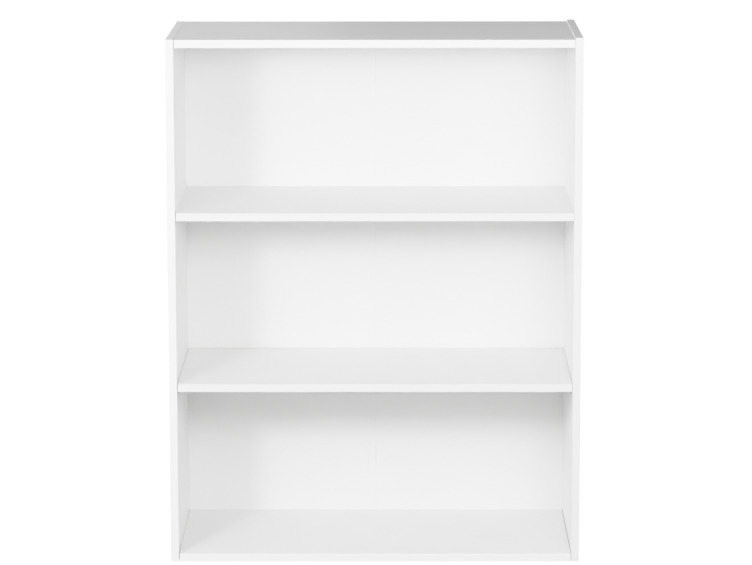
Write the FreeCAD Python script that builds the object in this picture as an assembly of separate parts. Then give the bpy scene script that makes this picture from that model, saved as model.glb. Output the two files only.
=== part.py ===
import FreeCAD, Part
import math
import os

# Open three-bay bookcase in 12 mm melamine-faced chipboard.
#
# Frame: millimetres, +Z up, +X to the right of someone facing the unit, -Y
# towards them. The origin is on the floor, under the middle of the overall box.
# Levels named *_z are heights above the underside of the side panels; the
# panels stand on glides, so GLIDE_T is added to each of them.

V = FreeCAD.Vector

# ---- carcass -----------------------------------------------------------------
W = 628.0  # overall width
BOARD = 12.0  # thickness of every chipboard panel
SIDE_D = 287.0  # depth of the side panels, front band included
BACK_T = 2.8  # hardboard back
TAPE_T = 0.2  # tape over the fold of the back
D = SIDE_D + BACK_T + TAPE_T  # overall depth
BAND = 0.5  # edge band thickness
ARRIS = 0.35  # rounding of the band's outer edges

LEFT_H = 805.5  # left side panel, top band included
RIGHT_H = 807.8  # right side panel, stands a little proud of the top board
TOP_z = 793.0  # underside of the top board
UPPER_z = 529.9  # underside of the fixed upper shelf
LOWER_z = 266.2  # underside of the loose lower shelf
BOTTOM_z = 0.0  # underside of the bottom board
LOOSE_D = 285.0  # depth of the loose shelf, flush in front, clear of the back
BOTTOM_GAP_L = 0.4  # open joint between the bottom board and the left side
BOTTOM_GAP_R = 0.8  # the same at the right side
LOOSE_GAP = 0.5  # side clearance of the loose shelf, each end
FRONT_GAP_L = 1.0   # the joints stand open by this at the front, left ends
FRONT_GAP_R = 0.45  # the same at the right ends
CLOSED_AT = 45.0  # and close towards the first fitting, this far back

# ---- floor glides ------------------------------------------------------------
GLIDE_T = 2.5  # height of a glide
GLIDE_R = 5.0
GLIDE_IN = 28.0  # glide centre from the front and from the rear of a side
GLIDE_NAIL_R, GLIDE_NAIL_L = 0.75, 12.0
GLIDE_HEAD_R, GLIDE_HEAD_T = 2.0, 0.8

# ---- eccentric fittings and dowels -------------------------------------------
FIT_Y = (45.0, 237.0)  # fittings, measured from the front of the sides
DOWEL_Y = (77.0, 205.0)  # dowels, likewise
CAM_IN = 24.0  # centre of the cam from the end of its board
CAM_R, CAM_POCKET_R = 5.9, 6.0
CAM_POCKET_H = 9.5  # pocket depth from the underside
CAM_Z0, CAM_Z1 = 0.2, 9.4  # the cam in its pocket, above the board's underside
CAM_CAVE_R, CAM_CAVE_H = 4.4, 5.0  # room for the bolt head inside the cam
CAM_SLOT_H = 3.2  # slot the bolt neck travels along
BOLT_HOLE_R, BOLT_SCREW_R = 2.55, 2.5
BOLT_SCREW_L, BOLT_HOLE_L = 8.0, 8.5
BOLT_SHANK_R, BOLT_NECK_R, BOLT_HEAD_R = 2.2, 1.3, 2.2
DOWEL_R, DOWEL_HOLE_R = 2.95, 3.0
DOWEL_IN_SIDE, DOWEL_IN_BOARD = 8.0, 16.0

# ---- shelf supports ----------------------------------------------------------
PIN_Y = (37.0, 229.0)  # the two rows of holes, from the front of the sides
PIN_PITCH = 32.0  # spacing of the holes in a row
PIN_STEPS = (-1, 0, 1)  # three heights for the loose shelf
PIN_R, PIN_HOLE_R = 2.45, 2.5
PIN_L, PIN_HOLE_L = 8.0, 8.5
PIN_DROP = 5.0  # axis of a pin below the shelf it carries
PIN_SEAT_GAP = 0.1  # play between the shelf and its supports

# ---- back --------------------------------------------------------------------
BACK_IN = 1.0  # back panel kept in from the outer faces
FOLD_GAP = 0.05  # between the two leaves of the back
TAPE_W = 32.0
NAIL_R, NAIL_L = 0.7, 17.0
NAIL_HEAD_R, NAIL_HEAD_T = 1.6, 0.5

# ---- wall brackets -----------------------------------------------------------
BRACKET_X = 180.0  # one each side of the middle
BRACKET_W, BRACKET_T = 18.0, 1.5
BRACKET_LEG_Z, BRACKET_LEG_Y = 27.0, 22.0
WALL_HOLE_R = 2.5  # hole for the wall screw
WALL_HOLE_DROP = 17.0  # below the top board
BACK_WALL_HOLE_R = 4.0  # clearance hole behind it, in the back
BSCREW_R, BSCREW_L = 1.45, 8.0
BSCREW_HEAD_R, BSCREW_HEAD_T = 2.8, 1.7

F = -D / 2.0  # front plane of the unit
REAR = F + SIDE_D  # rear edges of the chipboard
XI = W / 2.0 - BOARD  # inner face of a side
XO = W / 2.0  # outer face of a side


def up(z):
    """Height above the floor of a level given above the panels' underside."""
    return z + GLIDE_T


def box(x0, x1, y0, y1, z0, z1):
    return Part.makeBox(x1 - x0, y1 - y0, z1 - z0, V(x0, y0, z0))


def rod(r, length, base, direction):
    return Part.makeCylinder(r, length, V(*base), V(*direction))


def rounded(shape, keep):
    """Rounds the edges of a strip for which keep(edge bounding box) is true."""
    edges = [e for e in shape.Edges if keep(e.BoundBox)]
    return shape.makeFillet(ARRIS, edges)


def fused(shapes):
    first = shapes[0]
    for s in shapes[1:]:
        first = first.fuse(s)
    return first.removeSplitter()


nodes = {}
cuts = {}  # node name: list of tool solids to take out of it


def cut_from(name, tool):
    cuts.setdefault(name, []).append(tool)


# ---- side panels and their bands ---------------------------------------------
for side, sx, height in (("left", -1, LEFT_H), ("right", 1, RIGHT_H)):
    x0, x1 = sorted((sx * XI, sx * XO))
    name = side + "_side_panel"
    nodes[name] = box(x0, x1, F + BAND, REAR, up(0), up(height) - BAND)
    band = box(x0, x1, F, F + BAND, up(0), up(height) - BAND)
    nodes[side + "_side_front_band"] = rounded(
        band, lambda b: b.ZLength > 100 and b.YMax < F + BAND / 2
    )
    band = box(x0, x1, F, REAR, up(height) - BAND, up(height))
    nodes[side + "_side_top_band"] = rounded(
        band,
        lambda b: b.ZMin > up(height) - BAND / 2 and b.YMax < REAR - 1
        or (b.ZMin > up(height) - BAND / 2 and b.YLength > 100),
    )

# ---- boards between the sides --------------------------------------------------
# name: underside, rear, gap at the left end, gap at the right end
boards = {
    "top_board": (TOP_z, SIDE_D, 0.0, 0.0),
    "upper_shelf": (UPPER_z, SIDE_D, 0.0, 0.0),
    "lower_shelf": (LOWER_z, LOOSE_D, LOOSE_GAP, LOOSE_GAP),
    "bottom_board": (BOTTOM_z, SIDE_D, BOTTOM_GAP_L, BOTTOM_GAP_R),
}
for name, (z, rear, gap_l, gap_r) in boards.items():
    xl, xr = -XI + gap_l, XI - gap_r
    fl, fr = -XI + max(gap_l, FRONT_GAP_L), XI - max(gap_r, FRONT_GAP_R)
    plan = [
        (fl, F + BAND),
        (fr, F + BAND),
        (xr, F + CLOSED_AT),
        (xr, F + rear),
        (xl, F + rear),
        (xl, F + CLOSED_AT),
    ]
    corners = [V(x, y, up(z)) for x, y in plan + plan[:1]]
    nodes[name] = Part.Face(Part.makePolygon(corners)).extrude(V(0, 0, BOARD))
    band = box(fl, fr, F, F + BAND, up(z), up(z) + BOARD)
    nodes[name + "_band"] = rounded(band, lambda b: b.YMax < F + BAND / 2)

# ---- eccentric fittings and dowels in the three fixed boards --------------------


def cam():
    """Cam with its axis on Z, its bolt arriving along +X at height 6."""
    mid = BOARD / 2.0
    body = rod(CAM_R, CAM_Z1 - CAM_Z0, (0, 0, CAM_Z0), (0, 0, 1))
    cave = rod(CAM_CAVE_R, CAM_CAVE_H, (0, 0, mid - CAM_CAVE_H / 2), (0, 0, 1))
    # the neck's slot: a sector from -22 to 95 degrees through the wall
    slot = Part.makeCylinder(
        CAM_R + 1, CAM_SLOT_H, V(0, 0, mid - CAM_SLOT_H / 2), V(0, 0, 1), 117
    )
    slot.rotate(V(0, 0, 0), V(0, 0, 1), -22)
    # where the head comes in before the cam is turned
    mouth = rod(CAM_CAVE_H / 2, CAM_R + 1, (0, 0, mid), (0, 1, 0))
    cross = box(-3, 3, -0.6, 0.6, 0, CAM_Z0 + 1.7).fuse(
        box(-0.6, 0.6, -3, 3, 0, CAM_Z0 + 1.7)
    )
    out = body
    for tool in (cave, slot, mouth, cross):
        out = out.cut(tool)
    return out


def bolt():
    """Cam bolt along +X: the cam's centre is x = 0, the board's end x = CAM_IN."""
    head = rod(BOLT_HEAD_R, 2.0, (1.7, 0, 0), (1, 0, 0))
    neck = rod(BOLT_NECK_R, 2.8, (3.5, 0, 0), (1, 0, 0))
    shank = rod(BOLT_SHANK_R, CAM_IN - 6.1, (6.1, 0, 0), (1, 0, 0))
    screw = rod(BOLT_SCREW_R, BOLT_SCREW_L - 1.5, (CAM_IN, 0, 0), (1, 0, 0))
    tip = Part.makeCone(
        BOLT_SCREW_R, 1.4, 1.5, V(CAM_IN + BOLT_SCREW_L - 1.5, 0, 0), V(1, 0, 0)
    )
    return fused([head, neck, shank, screw, tip])


def dowel():
    """Dowel along +X, the joint between board and side at x = 0."""
    length = DOWEL_IN_SIDE + DOWEL_IN_BOARD
    d = rod(DOWEL_R, length, (-DOWEL_IN_BOARD, 0, 0), (1, 0, 0))
    return d.makeChamfer(0.8, [e for e in d.Edges if e.Length < 25 and e.Closed])


CAM, BOLT, DOWEL = cam(), bolt(), dowel()


def placed(shape, sx, x, y, z):
    s = shape.copy()
    if sx < 0:
        s.rotate(V(0, 0, 0), V(0, 0, 1), 180)
    s.translate(V(x, y, z))
    return s


cams, bolts, dowels = [], [], []
for name in ("top_board", "upper_shelf", "bottom_board"):
    z = up(boards[name][0])
    for side, sx in (("left", -1), ("right", 1)):
        panel = side + "_side_panel"
        for y in FIT_Y:
            xc = sx * (XI - CAM_IN)
            cams.append(placed(CAM, sx, xc, F + y, z))
            bolts.append(placed(BOLT, sx, xc, F + y, z + BOARD / 2))
            cut_from(
                name, rod(CAM_POCKET_R, CAM_POCKET_H, (xc, F + y, z), (0, 0, 1))
            )
            cut_from(
                name, rod(BOLT_HOLE_R, CAM_IN, (xc, F + y, z + BOARD / 2), (sx, 0, 0))
            )
            cut_from(
                panel,
                rod(
                    BOLT_HOLE_R,
                    BOLT_HOLE_L + 1,
                    (sx * (XI - 1), F + y, z + BOARD / 2),
                    (sx, 0, 0),
                ),
            )
        for y in DOWEL_Y:
            dowels.append(placed(DOWEL, sx, sx * XI, F + y, z + BOARD / 2))
            cut_from(
                name,
                rod(
                    DOWEL_HOLE_R,
                    DOWEL_IN_BOARD + 2,
                    (sx * (XI - DOWEL_IN_BOARD - 1), F + y, z + BOARD / 2),
                    (sx, 0, 0),
                ),
            )
            cut_from(
                panel,
                rod(
                    DOWEL_HOLE_R,
                    DOWEL_IN_SIDE + 1.5,
                    (sx * (XI - 1), F + y, z + BOARD / 2),
                    (sx, 0, 0),
                ),
            )
nodes["cam_locks"] = Part.makeCompound(cams)
nodes["cam_bolts"] = Part.makeCompound(bolts)
nodes["wood_dowels"] = Part.makeCompound(dowels)

# ---- shelf supports and their rows of holes -------------------------------------
pin_z = up(LOWER_z) - PIN_SEAT_GAP - PIN_DROP
pins = []
for side, sx in (("left", -1), ("right", 1)):
    panel = side + "_side_panel"
    for y in PIN_Y:
        for step in PIN_STEPS:
            cut_from(
                panel,
                rod(
                    PIN_HOLE_R,
                    PIN_HOLE_L + 1,
                    (sx * (XI - 1), F + y, pin_z + step * PIN_PITCH),
                    (sx, 0, 0),
                ),
            )
        # drawn for the right side with the side's face at x = 0, then placed
        plate = box(-1.2, 0, -3.5, 3.5, -4.5, PIN_DROP)
        tongue = box(-9.0, 0, -3.5, 3.5, PIN_DROP - 1.6, PIN_DROP)
        corner = [
            e
            for e in tongue.Edges
            if e.BoundBox.ZLength > 1 and e.BoundBox.XMax < -8.9
        ]
        tongue = tongue.makeFillet(2.0, corner)
        web = Part.Face(
            Part.makePolygon(
                [
                    V(-1.2, -0.7, PIN_DROP - 1.6),
                    V(-7.0, -0.7, PIN_DROP - 1.6),
                    V(-1.2, -0.7, -3.5),
                    V(-1.2, -0.7, PIN_DROP - 1.6),
                ]
            )
        ).extrude(V(0, 1.4, 0))
        peg = rod(PIN_R, PIN_L, (0, 0, 0), (1, 0, 0))
        peg = peg.makeChamfer(
            0.5,
            [e for e in peg.Edges if e.Closed and e.BoundBox.XMin > PIN_L - 0.1],
        )
        pins.append(placed(fused([plate, tongue, web, peg]), sx, sx * XI, F + y, pin_z))
nodes["shelf_pins"] = Part.makeCompound(pins)

# ---- folding hardboard back -------------------------------------------------------
back_z0, back_z1 = up(BACK_IN), up(TOP_z) + BOARD - BACK_IN
nodes["back_panel_left"] = box(
    -XO + BACK_IN, -FOLD_GAP / 2, REAR, REAR + BACK_T, back_z0, back_z1
)
nodes["back_panel_right"] = box(
    FOLD_GAP / 2, XO - BACK_IN, REAR, REAR + BACK_T, back_z0, back_z1
)
nodes["back_fold_tape"] = box(
    -TAPE_W / 2, TAPE_W / 2, REAR + BACK_T, REAR + BACK_T + TAPE_T, back_z0, back_z1
)

# nails: down the rear edges of the sides and along the three fixed boards
spots = []
for sx, panel in ((-1, "left_side_panel"), (1, "right_side_panel")):
    for i in range(7):
        spots.append((panel, sx * (XO - BOARD / 2), up(50.0 + i * 117.5)))
for name in ("top_board", "upper_shelf", "bottom_board"):
    for x in (-235.0, -80.0, 80.0, 235.0):
        spots.append((name, x, up(boards[name][0]) + BOARD / 2))
nails = []
for name, x, z in spots:
    leaf = "back_panel_left" if x < 0 else "back_panel_right"
    y1 = REAR + BACK_T
    shank = rod(NAIL_R, NAIL_L - 1.5 - NAIL_HEAD_T, (x, y1 - NAIL_L + 1.5, z), (0, 1, 0))
    point = Part.makeCone(0.05, NAIL_R, 1.5, V(x, y1 - NAIL_L, z), V(0, 1, 0))
    head = rod(NAIL_HEAD_R, NAIL_HEAD_T, (x, y1 - NAIL_HEAD_T, z), (0, 1, 0))
    nails.append(fused([shank, point, head]))
    hole = rod(NAIL_R + 0.05, NAIL_L, (x, y1 - NAIL_L - 0.1, z), (0, 1, 0))
    sink = rod(NAIL_HEAD_R + 0.05, 1.0, (x, y1 - NAIL_HEAD_T, z), (0, 1, 0))
    cut_from(leaf, hole)
    cut_from(leaf, sink)
    cut_from(name, hole)
nodes["back_panel_nails"] = Part.makeCompound(nails)

# ---- wall brackets ------------------------------------------------------------------
brackets, bracket_screws = [], []
zt = up(TOP_z)
for sx in (-1, 1):
    xb = sx * BRACKET_X
    x0, x1 = xb - BRACKET_W / 2, xb + BRACKET_W / 2
    flat = box(x0, x1, REAR - BRACKET_LEG_Y, REAR, zt - BRACKET_T, zt)
    leg = box(x0, x1, REAR - BRACKET_T, REAR, zt - BRACKET_LEG_Z, zt)
    b = fused([flat, leg])
    bend = [
        e
        for e in b.Edges
        if e.BoundBox.XLength > 10
        and abs(e.BoundBox.YMin - (REAR - BRACKET_T)) < 0.01
        and abs(e.BoundBox.ZMin - (zt - BRACKET_T)) < 0.01
    ]
    b = b.makeFillet(1.5, bend)
    ends = [
        e
        for e in b.Edges
        if (
            e.BoundBox.XLength < 0.01
            and (
                (e.BoundBox.YLength < 0.01 and e.BoundBox.YMax < REAR - BRACKET_LEG_Y + 0.01)
                or (
                    e.BoundBox.ZLength < 0.01
                    and e.BoundBox.ZMax < zt - BRACKET_LEG_Z + 0.01
                )
            )
        )
    ]
    b = b.makeFillet(3.0, ends)
    ys, zw = REAR - 13.0, zt - WALL_HOLE_DROP
    b = b.cut(rod(WALL_HOLE_R, 10, (xb, REAR - 5, zw), (0, 1, 0)))
    b = b.cut(rod(BSCREW_R + 0.3, 10, (xb, ys, zt - 5), (0, 0, 1)))
    brackets.append(b)
    cut_from(
        "back_panel_left" if sx < 0 else "back_panel_right",
        rod(BACK_WALL_HOLE_R, 10, (xb, REAR - 3, zw), (0, 1, 0)),
    )
    shank = rod(BSCREW_R, BRACKET_T + BSCREW_L - 1.5, (xb, ys, zt - BRACKET_T), (0, 0, 1))
    tip = Part.makeCone(
        BSCREW_R, 0.2, 1.5, V(xb, ys, zt + BSCREW_L - 1.5), V(0, 0, 1)
    )
    head = rod(
        BSCREW_HEAD_R, BSCREW_HEAD_T, (xb, ys, zt - BRACKET_T - BSCREW_HEAD_T), (0, 0, 1)
    )
    head = head.makeFillet(
        1.0,
        [e for e in head.Edges if e.Closed and e.BoundBox.ZMax < zt - BRACKET_T - 1],
    )
    bar = box(
        xb - 2.0, xb + 2.0, ys - 0.4, ys + 0.4, zt - BRACKET_T - 3, zt - BRACKET_T - 0.8
    )
    bar2 = box(
        xb - 0.4, xb + 0.4, ys - 2.0, ys + 2.0, zt - BRACKET_T - 3, zt - BRACKET_T - 0.8
    )
    bracket_screws.append(fused([shank, tip, head]).cut(bar).cut(bar2))
    cut_from("top_board", rod(BSCREW_R + 0.05, BSCREW_L + 0.6, (xb, ys, zt - 0.3), (0, 0, 1)))
nodes["wall_brackets"] = Part.makeCompound(brackets)
nodes["wall_bracket_screws"] = Part.makeCompound(bracket_screws)

# ---- floor glides under the sides ------------------------------------------------------
glides, glide_nails = [], []
for sx, panel in ((-1, "left_side_panel"), (1, "right_side_panel")):
    for y in (F + GLIDE_IN, REAR - GLIDE_IN):
        x = sx * (XO - BOARD / 2)
        disc = rod(GLIDE_R, GLIDE_T, (x, y, 0), (0, 0, 1))
        disc = disc.makeFillet(
            0.8, [e for e in disc.Edges if e.Closed and e.BoundBox.ZMax < 0.01]
        )
        disc = disc.cut(rod(GLIDE_HEAD_R + 0.05, GLIDE_HEAD_T + 0.55, (x, y, -0.05), (0, 0, 1)))
        disc = disc.cut(rod(GLIDE_NAIL_R + 0.05, GLIDE_T + 1, (x, y, 0), (0, 0, 1)))
        glides.append(disc)
        head = rod(GLIDE_HEAD_R, GLIDE_HEAD_T, (x, y, 0.5), (0, 0, 1))
        shank = rod(GLIDE_NAIL_R, GLIDE_NAIL_L - 2.0, (x, y, 0.5), (0, 0, 1))
        tip = Part.makeCone(
            GLIDE_NAIL_R, 0.05, 1.5, V(x, y, GLIDE_NAIL_L - 1.5), V(0, 0, 1)
        )
        glide_nails.append(fused([head, shank, tip]))
        cut_from(panel, rod(GLIDE_NAIL_R + 0.05, GLIDE_NAIL_L, (x, y, 0.2), (0, 0, 1)))
nodes["floor_glides"] = Part.makeCompound(glides)
nodes["glide_nails"] = Part.makeCompound(glide_nails)

# ---- write -------------------------------------------------------------------------------
for name, tools in cuts.items():
    nodes[name] = nodes[name].cut(Part.makeCompound(tools)) if len(
        tools
    ) == 1 else nodes[name].cut(tools[0].multiFuse(tools[1:]))

os.makedirs("parts", exist_ok=True)
for name, shape in nodes.items():
    solids = shape.Solids
    for s in solids:
        if not s.isValid() or not s.isClosed() or s.Volume <= 0:
            raise ValueError("bad solid in " + name)
    out = solids[0] if len(solids) == 1 else Part.makeCompound(solids)
    out.exportStep("parts/" + name + ".step")
    b = out.BoundBox
    print(
        "%-24s %3d solid(s)  %9.1f mm3  X %7.1f %7.1f  Y %7.1f %7.1f  Z %7.1f %7.1f"
        % (
            name,
            len(solids),
            sum(s.Volume for s in solids),
            b.XMin,
            b.XMax,
            b.YMin,
            b.YMax,
            b.ZMin,
            b.ZMax,
        )
    )
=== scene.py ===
import math

import bpy
from mathutils import Matrix, Vector


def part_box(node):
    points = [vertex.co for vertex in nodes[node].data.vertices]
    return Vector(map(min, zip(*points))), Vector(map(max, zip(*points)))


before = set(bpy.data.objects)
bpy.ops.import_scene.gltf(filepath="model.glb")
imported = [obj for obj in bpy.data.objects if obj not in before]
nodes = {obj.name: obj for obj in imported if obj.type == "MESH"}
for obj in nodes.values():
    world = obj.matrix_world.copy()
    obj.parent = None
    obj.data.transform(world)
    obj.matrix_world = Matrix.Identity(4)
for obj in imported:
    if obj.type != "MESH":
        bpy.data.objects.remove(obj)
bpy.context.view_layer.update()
scene = bpy.context.scene

# ---- colour management ---------------------------------------------------------
# A photographic shoulder: display-linear up to KNEE, then easing into white.
KNEE, WHITE = 0.40, 2.5
view = scene.view_settings
view.view_transform = "Standard"
view.look = "None"
view.exposure = 0.0
view.gamma = 1.0
view.use_curve_mapping = True
curves = view.curve_mapping
curves.white_level = (WHITE, WHITE, WHITE)


def shoulder(x):
    if x <= KNEE:
        return x
    return KNEE + (1.0 - KNEE) * (1.0 - math.exp(-(x - KNEE) / (1.0 - KNEE)))


stops = [0.0, 0.2, 0.35, 0.45, 0.6, 0.8, 1.0, 1.2, 1.4, 1.65, 1.9, 2.2]
points = [(x / WHITE, shoulder(x)) for x in stops] + [(1.0, 1.0)]
line = curves.curves[3].points
while len(line) < len(points):
    line.new(0.5, 0.5)
for point, place in zip(line, points):
    point.location = place
curves.update()

# ---- camera ---------------------------------------------------------------------
# The unit is seen from the front and a little above, from about five metres.
CAM_AT = (0.03189, -5.2450, 1.33630)
CAM_PITCH, CAM_YAW, CAM_ROLL = 0.17427, -0.00585, -0.00126
CAM_LENS = 163.38

forward = Vector(
    (
        math.sin(CAM_YAW) * math.cos(CAM_PITCH),
        math.cos(CAM_YAW) * math.cos(CAM_PITCH),
        -math.sin(CAM_PITCH),
    )
)
right = Vector((math.cos(CAM_YAW), -math.sin(CAM_YAW), 0.0))
above = right.cross(forward)
right_r = right * math.cos(CAM_ROLL) + above * math.sin(CAM_ROLL)
above_r = above * math.cos(CAM_ROLL) - right * math.sin(CAM_ROLL)
turn = Matrix((right_r, above_r, -forward)).transposed()
cam_data = bpy.data.cameras.new("camera")
cam_data.lens = CAM_LENS
cam_data.sensor_width = 36.0
cam_data.clip_start, cam_data.clip_end = 0.05, 200.0
cam = bpy.data.objects.new("camera", cam_data)
cam.matrix_world = Matrix.Translation(CAM_AT) @ turn.to_4x4()
scene.collection.objects.link(cam)
scene.camera = cam


# ---- node helpers ---------------------------------------------------------------
class Tree:
    """A material's or the world's node tree, built with short calls."""

    def __init__(self, owner):
        owner.use_nodes = True
        self.tree = owner.node_tree
        self.tree.nodes.clear()

    def add(self, kind, links=None, **props):
        node = self.tree.nodes.new(kind)
        for key, value in props.items():
            setattr(node, key, value)
        for key, value in (links or {}).items():
            self.put(node.inputs[key], value)
        return node

    def put(self, socket, value):
        if isinstance(value, bpy.types.NodeSocket):
            self.tree.links.new(value, socket)
        elif value is not None:
            socket.default_value = value

    def math(self, operation, a, b=None, c=None, clamp=False):
        node = self.add("ShaderNodeMath", operation=operation, use_clamp=clamp)
        for socket, value in zip(node.inputs, (a, b, c)):
            self.put(socket, value)
        return node.outputs[0]

    def vmath(self, operation, a, b=None):
        node = self.add("ShaderNodeVectorMath", operation=operation)
        for socket, value in zip(node.inputs, (a, b)):
            self.put(socket, value)
        return node.outputs[0]

    def step(self, value, low, high, smooth=True):
        """0 below low, 1 above high."""
        node = self.add(
            "ShaderNodeMapRange",
            {"Value": value, "From Min": low, "From Max": high},
            interpolation_type="SMOOTHSTEP" if smooth else "LINEAR",
            clamp=True,
        )
        return node.outputs["Result"]

    def spread(self, value, low, high, f0=0.3, f1=0.7):
        """Maps a noise value to low..high."""
        node = self.add(
            "ShaderNodeMapRange",
            {
                "Value": value,
                "From Min": f0,
                "From Max": f1,
                "To Min": low,
                "To Max": high,
            },
            clamp=True,
        )
        return node.outputs["Result"]

    def mix(self, factor, a, b, blend="MIX"):
        node = self.add("ShaderNodeMix", data_type="RGBA", blend_type=blend)
        self.put(node.inputs[0], factor)
        self.put(node.inputs[6], a)
        self.put(node.inputs[7], b)
        return node.outputs[2]

    def fmix(self, factor, a, b):
        node = self.add("ShaderNodeMix", data_type="FLOAT")
        self.put(node.inputs[0], factor)
        self.put(node.inputs[2], a)
        self.put(node.inputs[3], b)
        return node.outputs[0]

    def ramp(self, value, stops, interpolation="LINEAR"):
        node = self.add("ShaderNodeValToRGB", {"Fac": value})
        ramp = node.color_ramp
        ramp.interpolation = interpolation
        while len(ramp.elements) < len(stops):
            ramp.elements.new(0.5)
        for element, (place, colour) in zip(ramp.elements, stops):
            element.position = place
            element.color = (*colour, 1.0)
        return node.outputs["Color"]

    def coords(self):
        return self.add("ShaderNodeTexCoord").outputs["Object"]

    def xyz(self, vector):
        node = self.add("ShaderNodeSeparateXYZ", {"Vector": vector})
        return node.outputs["X"], node.outputs["Y"], node.outputs["Z"]

    def scaled(self, vector, factors, shift=(0.0, 0.0, 0.0), turned=(0.0, 0.0, 0.0)):
        node = self.add(
            "ShaderNodeMapping",
            {"Vector": vector, "Location": shift, "Rotation": turned, "Scale": factors},
        )
        return node.outputs[0]

    def noise(self, vector, scale, detail=2.0, roughness=0.5, distortion=0.0):
        node = self.add(
            "ShaderNodeTexNoise",
            {
                "Vector": vector,
                "Scale": scale,
                "Detail": detail,
                "Roughness": roughness,
                "Distortion": distortion,
            },
        )
        return node.outputs["Fac"]

    def voronoi(self, vector, scale, feature="F1", output="Distance", randomness=1.0):
        node = self.add(
            "ShaderNodeTexVoronoi",
            {"Vector": vector, "Scale": scale, "Randomness": randomness},
            feature=feature,
        )
        return node.outputs[output]

    def bump(self, height, distance, strength=1.0, normal=None):
        node = self.add(
            "ShaderNodeBump",
            {"Height": height, "Distance": distance, "Strength": strength},
        )
        if normal is not None:
            self.put(node.inputs["Normal"], normal)
        return node.outputs["Normal"]

    def surface(self, **inputs):
        """The Principled shader. Underscores in a name stand for spaces."""
        node = self.add("ShaderNodeBsdfPrincipled")
        for key, value in inputs.items():
            self.put(node.inputs[key.replace("_", " ")], value)
        out = self.add("ShaderNodeOutputMaterial")
        self.put(out.inputs["Surface"], node.outputs["BSDF"])
        return node


def material(name):
    made = bpy.data.materials.new(name)
    return made, Tree(made)


def rgb(r, g, b):
    """Linear colour from 0-255 display values."""

    def lin(v):
        v /= 255.0
        return v / 12.92 if v <= 0.04045 else ((v + 0.055) / 1.055) ** 2.4

    return (lin(r), lin(g), lin(b))


def col(c):
    return (*c, 1.0)


# ---- melamine-faced chipboard -----------------------------------------------------
FILM = (0.870, 0.870, 0.867)


def chip_colour(t, at, depth):
    """Pressed particles seen on a cut edge. depth is 0 in the middle of the board and
    1 at its faces: the core is coarse, the outer layers are fine."""
    warp = t.noise(at, 240.0, 2.0)
    coarse = t.voronoi(at, 330.0, output="Color")
    fine = t.voronoi(at, 1100.0, output="Color")
    c1 = t.xyz(coarse)[0]
    c2 = t.xyz(fine)[0]
    pick = t.fmix(t.step(depth, 0.55, 0.75), c1, c2)
    base = t.ramp(
        pick,
        [
            (0.0, rgb(150, 112, 74)),
            (0.3, rgb(181, 143, 100)),
            (0.65, rgb(201, 166, 122)),
            (1.0, rgb(222, 192, 150)),
        ],
    )
    gaps = t.step(t.voronoi(at, 330.0, feature="DISTANCE_TO_EDGE"), 0.0, 0.09)
    shade = t.fmix(t.step(depth, 0.5, 0.8), gaps, 1.0)
    dark = t.fmix(shade, 0.62, 1.0)
    flecks = t.spread(warp, 0.88, 1.06)
    return t.mix(1.0, base, t.add(
        "ShaderNodeCombineColor",
        {"Red": t.math("MULTIPLY", dark, flecks),
         "Green": t.math("MULTIPLY", dark, flecks),
         "Blue": t.math("MULTIPLY", dark, flecks)},
    ).outputs["Color"], blend="MULTIPLY"), pick, shade


def board_material(name, axis, low, high):
    """White film on both faces of a board whose thickness runs along axis from low to
    high, and bare particles wherever the board is cut: edges, holes and pockets."""
    made, t = material(name)
    at = t.coords()
    along = t.xyz(at)["XYZ".index(axis)]
    middle, half = (low + high) / 2, (high - low) / 2
    off = t.math("ABSOLUTE", t.math("SUBTRACT", along, middle))
    depth = t.math("DIVIDE", off, half)
    film = t.step(off, half - 0.00022, half - 0.00018, smooth=False)
    chips, pick, shade = chip_colour(t, at, depth)
    drift = t.spread(t.noise(at, 5.0, 3.0), 0.988, 1.0)
    cloud = t.spread(t.noise(at, 70.0, 4.0, 0.6), 0.992, 1.004)
    tone = t.math("MULTIPLY", drift, cloud)
    white = t.mix(
        1.0,
        col(FILM),
        t.add(
            "ShaderNodeCombineColor", {"Red": tone, "Green": tone, "Blue": tone}
        ).outputs["Color"],
        blend="MULTIPLY",
    )
    colour = t.mix(film, chips, white)
    pores = t.noise(at, 1500.0, 2.0, 0.5)
    peel = t.noise(at, 420.0, 3.0, 0.55)
    rough_film = t.math(
        "ADD",
        t.spread(t.noise(at, 26.0, 4.0, 0.6), 0.40, 0.48),
        t.spread(pores, -0.03, 0.03),
    )
    rough = t.fmix(film, 0.9, rough_film)
    h_film = t.math("ADD", t.math("MULTIPLY", peel, 0.6), t.math("MULTIPLY", pores, 0.4))
    h_chip = t.math("MULTIPLY", t.math("ADD", pick, shade), 6.0)
    height = t.fmix(film, h_chip, h_film)
    t.surface(
        Base_Color=colour,
        Roughness=rough,
        Specular_IOR_Level=0.5,
        Normal=t.bump(height, 0.00002, 0.5),
    )
    return made


def band_material(name, tone):
    """Plastic edge band, a touch smoother than the film."""
    made, t = material(name)
    at = t.coords()
    drift = t.spread(t.noise(at, 7.0, 2.0), 0.990, 1.0)
    white = t.mix(
        1.0,
        (tone, tone, tone - 0.003, 1.0),
        t.add(
            "ShaderNodeCombineColor", {"Red": drift, "Green": drift, "Blue": drift}
        ).outputs["Color"],
        blend="MULTIPLY",
    )
    pores = t.noise(at, 900.0, 2.0)
    t.surface(
        Base_Color=white,
        Roughness=t.spread(t.noise(at, 40.0, 3.0), 0.34, 0.42),
        Specular_IOR_Level=0.5,
        Normal=t.bump(pores, 0.00001, 0.4),
    )
    return made


def put(name, made):
    data = nodes[name].data
    data.materials.clear()
    data.materials.append(made)


def span(name, axis):
    low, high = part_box(name)
    k = "XYZ".index(axis)
    return low[k], high[k]


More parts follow.
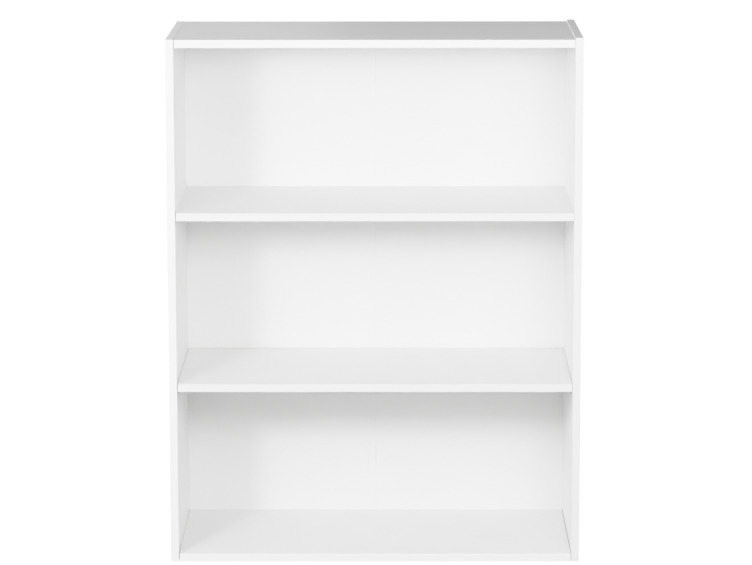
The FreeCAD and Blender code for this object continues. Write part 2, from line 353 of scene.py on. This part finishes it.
for name in ("left_side_panel", "right_side_panel"):
    put(name, board_material("melamine_" + name, "X", *span(name, "X")))
for name in ("top_board", "upper_shelf", "lower_shelf", "bottom_board"):
    put(name, board_material("melamine_" + name, "Z", *span(name, "Z")))
# painted shade: the right side's front band and the two shelf bands get a darker copy of the
# same band, standing in for the lesser light on them
whiter, band_painted_shade = band_material("edge_band_white", 0.855), band_material("edge_band_painted_shade", 0.775)
for name in nodes:
    if name.endswith("_band"):
        gets_painted_shade = name in ("right_side_front_band", "upper_shelf_band", "lower_shelf_band")
        put(name, band_painted_shade if gets_painted_shade else whiter)


# ---- hardboard back ------------------------------------------------------------------
def hardboard_material(name, front_y):
    """White lacquer on the front, bare pressed fibre with a screen print on the rear."""
    made, t = material(name)
    at = t.coords()
    x, y, z = t.xyz(at)
    lacquer = t.step(y, front_y + 0.00015, front_y + 0.0001, smooth=False)
    drift = t.spread(t.noise(at, 4.0, 3.0), 0.985, 1.0)
    # the lacquer is a little darker in a short strip along the fold, low in the bottom bay
    dark_fold_strip = t.math(
        "MULTIPLY",
        t.step(t.math("ABSOLUTE", x), 0.0014, 0.0003),
        t.math("MULTIPLY", t.step(z, 0.090, 0.100), t.step(z, 0.121, 0.112)),
    )
    dark_fold_strip = t.math("MULTIPLY", dark_fold_strip, t.spread(t.noise(at, 600.0, 3.0), 0.08, 0.17))
    tone = t.math("MULTIPLY", drift, t.math("SUBTRACT", 1.0, dark_fold_strip))
    white = t.mix(
        1.0,
        (0.865, 0.865, 0.862, 1.0),
        t.add(
            "ShaderNodeCombineColor", {"Red": tone, "Green": tone, "Blue": tone}
        ).outputs["Color"],
        blend="MULTIPLY",
    )
    fibre = t.noise(t.scaled(at, (1.0, 1.0, 0.55)), 850.0, 5.0, 0.7, 0.5)
    patch = t.noise(t.scaled(at, (1.0, 1.0, 0.7)), 150.0, 5.0, 0.68, 0.4)
    brown = t.ramp(
        t.math("ADD", t.math("MULTIPLY", fibre, 0.55), t.math("MULTIPLY", patch, 0.45)),
        [
            (0.32, rgb(112, 78, 51)),
            (0.46, rgb(150, 111, 77)),
            (0.55, rgb(171, 133, 97)),
            (0.70, rgb(200, 165, 128)),
        ],
    )
    flakes = t.step(t.noise(t.scaled(at, (1.0, 1.0, 0.6)), 360.0, 2.0), 0.66, 0.72)
    brown = t.mix(t.math("MULTIPLY", flakes, 0.55), brown, col(rgb(86, 58, 38)))
    pale = t.step(t.noise(t.scaled(at, (1.0, 1.0, 0.4)), 300.0, 3.0, 0.5, 1.0), 0.67, 0.74)
    brown = t.mix(t.math("MULTIPLY", pale, 0.4), brown, col(rgb(206, 174, 136)))
    colour = t.mix(lacquer, brown, white)
    wave = math.pi * 2 / 0.0016
    screen = t.math(
        "MULTIPLY",
        t.math("SINE", t.math("MULTIPLY", x, wave)),
        t.math("SINE", t.math("MULTIPLY", z, wave)),
    )
    rear_h = t.math("ADD", t.math("MULTIPLY", screen, 0.5), t.math("MULTIPLY", fibre, 2.0))
    front_h = t.noise(at, 500.0, 3.0)
    height = t.fmix(lacquer, rear_h, t.math("MULTIPLY", front_h, 0.25))
    t.surface(
        Base_Color=colour,
        Roughness=t.fmix(lacquer, 0.85, t.spread(t.noise(at, 30.0, 3.0), 0.48, 0.56)),
        Specular_IOR_Level=0.5,
        Normal=t.bump(height, 0.00008, 0.6),
    )
    return made


back = hardboard_material("hardboard_back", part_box("back_panel_left")[0].y)
put("back_panel_left", back)
put("back_panel_right", back)


def tape_material():
    made, t = material("paper_tape")
    at = t.coords()
    x = t.xyz(at)[0]
    fibre = t.noise(t.scaled(at, (1.0, 1.0, 0.25)), 420.0, 4.0, 0.6)
    colour = t.ramp(
        fibre,
        [
            (0.30, rgb(178, 146, 108)),
            (0.55, rgb(199, 168, 128)),
            (0.75, rgb(212, 184, 146)),
        ],
    )
    crease = t.step(t.math("ABSOLUTE", x), 0.0012, 0.0002)
    # painted shade: the tape's colour is darkened along the crease, besides the dent in its bump
    colour = t.mix(t.math("MULTIPLY", crease, 0.35), colour, col(rgb(118, 90, 62)))
    height = t.math("SUBTRACT", t.math("MULTIPLY", fibre, 0.6), crease)
    t.surface(
        Base_Color=colour,
        Roughness=t.spread(fibre, 0.50, 0.66),
        Specular_IOR_Level=0.5,
        Normal=t.bump(height, 0.00012, 0.6),
    )
    return made


put("back_fold_tape", tape_material())


# ---- metal ---------------------------------------------------------------------------
def metal_material(name, colour, rough, cast, scratch, height):
    """Metal with cast pitting or drawn scratches."""
    made, t = material(name)
    at = t.coords()
    grain = t.noise(at, cast, 4.0, 0.6)
    lines = t.noise(t.scaled(at, scratch), 1.0, 3.0, 0.6)
    tone = t.spread(grain, 0.86, 1.0)
    t.surface(
        Base_Color=t.mix(
            1.0,
            col(colour),
            t.add(
                "ShaderNodeCombineColor", {"Red": tone, "Green": tone, "Blue": tone}
            ).outputs["Color"],
            blend="MULTIPLY",
        ),
        Metallic=1.0,
        Roughness=t.spread(
            t.math("MULTIPLY", t.math("ADD", grain, lines), 0.5), rough, rough + 0.14
        ),
        Normal=t.bump(t.math("ADD", grain, lines), height, 0.5),
    )
    return made


zinc = metal_material(
    "zinc_die_cast", (0.56, 0.57, 0.59), 0.34, 900.0, (500.0, 500.0, 500.0), 0.00004
)
steel = metal_material(
    "bright_steel", (0.62, 0.61, 0.60), 0.26, 1500.0, (2500.0, 300.0, 2500.0), 0.00002
)
nickel = metal_material(
    "nickel_plate", (0.66, 0.62, 0.56), 0.18, 1800.0, (300.0, 3000.0, 3000.0), 0.00001
)
for name in ("cam_locks", "cam_bolts", "wall_brackets"):
    put(name, zinc)
for name in ("back_panel_nails", "wall_bracket_screws", "glide_nails"):
    put(name, steel)
put("shelf_pins", nickel)


# ---- beech and plastic -----------------------------------------------------------------
def beech_material():
    made, t = material("beech")
    at = t.coords()
    grain = t.noise(t.scaled(at, (60.0, 1400.0, 1400.0)), 1.0, 4.0, 0.6, 0.3)
    colour = t.ramp(
        grain,
        [
            (0.3, rgb(178, 134, 90)),
            (0.55, rgb(205, 164, 120)),
            (0.75, rgb(222, 186, 144)),
        ],
    )
    t.surface(
        Base_Color=colour,
        Roughness=t.spread(grain, 0.62, 0.75),
        Normal=t.bump(grain, 0.00008, 0.6),
    )
    return made


put("wood_dowels", beech_material())


def glide_material():
    made, t = material("glide_plastic")
    at = t.coords()
    drift = t.noise(at, 300.0, 3.0)
    colour = t.ramp(
        drift, [(0.3, (0.60, 0.60, 0.585)), (0.7, (0.66, 0.66, 0.645))]
    )
    t.surface(
        Base_Color=colour,
        Roughness=t.spread(t.noise(at, 700.0, 3.0), 0.38, 0.52),
        Normal=t.bump(drift, 0.00003, 0.4),
    )
    return made


put("floor_glides", glide_material())

# ---- floor, backdrop and lights ------------------------------------------------------------
HALF = 60.0
floor_mesh = bpy.data.meshes.new("floor")
floor_mesh.from_pydata(
    [(-HALF, -HALF, 0), (HALF, -HALF, 0), (HALF, HALF, 0), (-HALF, HALF, 0)],
    [],
    [(0, 1, 2, 3)],
)
floor = bpy.data.objects.new("floor", floor_mesh)
scene.collection.objects.link(floor)
floor_mat, t = material("studio_floor")
seen = t.add("ShaderNodeLightPath").outputs["Is Camera Ray"]
grey = t.add("ShaderNodeBsdfDiffuse", {"Color": (0.42, 0.42, 0.42, 1.0)})
pale = t.add("ShaderNodeBsdfDiffuse", {"Color": (0.80, 0.80, 0.80, 1.0)})
glow = t.add("ShaderNodeEmission", {"Color": (1, 1, 1, 1), "Strength": 2.2})
lit = t.add("ShaderNodeAddShader")
t.put(lit.inputs[0], pale.outputs[0])
t.put(lit.inputs[1], glow.outputs[0])
both = t.add("ShaderNodeMixShader", {"Fac": seen})
t.put(both.inputs[1], grey.outputs[0])
t.put(both.inputs[2], lit.outputs[0])
out = t.add("ShaderNodeOutputMaterial")
t.put(out.inputs["Surface"], both.outputs[0])
floor_mesh.materials.append(floor_mat)

world = bpy.data.worlds.new("studio")
scene.world = world
t = Tree(world)
seen = t.add("ShaderNodeLightPath").outputs["Is Camera Ray"]
AMBIENT = 0.38
room = t.add("ShaderNodeBackground", {"Color": (1, 1, 1, 1), "Strength": AMBIENT})
white = t.add("ShaderNodeBackground", {"Color": (1, 1, 1, 1), "Strength": 3.5})
both = t.add("ShaderNodeMixShader", {"Fac": seen})
t.put(both.inputs[1], room.outputs[0])
t.put(both.inputs[2], white.outputs[0])
out = t.add("ShaderNodeOutputWorld")
t.put(out.inputs["Surface"], both.outputs[0])


def soft_box(name, azimuth, reach, height, size, power):
    """A square soft light. Azimuth 0 is straight in front, positive to the right."""
    data = bpy.data.lights.new(name, "AREA")
    data.shape = "SQUARE"
    data.size = size
    data.energy = power
    turn = math.radians(azimuth)
    at = Vector((reach * math.sin(turn), -reach * math.cos(turn), height))
    way = Vector((0.0, 0.0, 0.42)) - at
    obj = bpy.data.objects.new(name, data)
    obj.matrix_world = Matrix.Translation(at) @ way.to_track_quat("-Z", "Y").to_matrix().to_4x4()
    obj.visible_camera = False
    scene.collection.objects.link(obj)


#         name          azimuth reach height size watts
soft_box("key", -28.0, 2.26, 1.05, 0.25, 17.6)
soft_box("key_fill", -26.0, 2.2, 1.25, 0.40, 3.7)
soft_box("left_near", -40.0, 2.5, 1.10, 0.90, 14.7)
soft_box("left_wide", -60.0, 2.5, 1.10, 0.90, 9.3)
soft_box("left_high", -30.0, 2.5, 1.70, 0.80, 6.2)
soft_box("middle", 0.0, 2.4, 1.15, 0.50, 2.9)
soft_box("middle_low", 0.0, 2.5, 0.50, 0.80, 3.9)
soft_box("right_low", 14.0, 2.2, 1.10, 0.35, 12.2)
soft_box("right_near", 22.0, 2.4, 1.20, 0.60, 11.0)
soft_box("right_wide", 55.0, 2.5, 1.00, 0.90, 14.2)
soft_box("front_high", 0.0, 2.5, 2.50, 1.20, 15.3)
soft_box("side_right", 96.0, 2.5, 0.50, 0.90, 10.0)
soft_box("side_left", -96.0, 2.5, 0.50, 0.90, 6.0)
soft_box("rear", 195.0, 2.5, 0.60, 1.10, 12.0)

# ---- update -----------------------------------------------------------------------------------
bpy.context.view_layer.update()
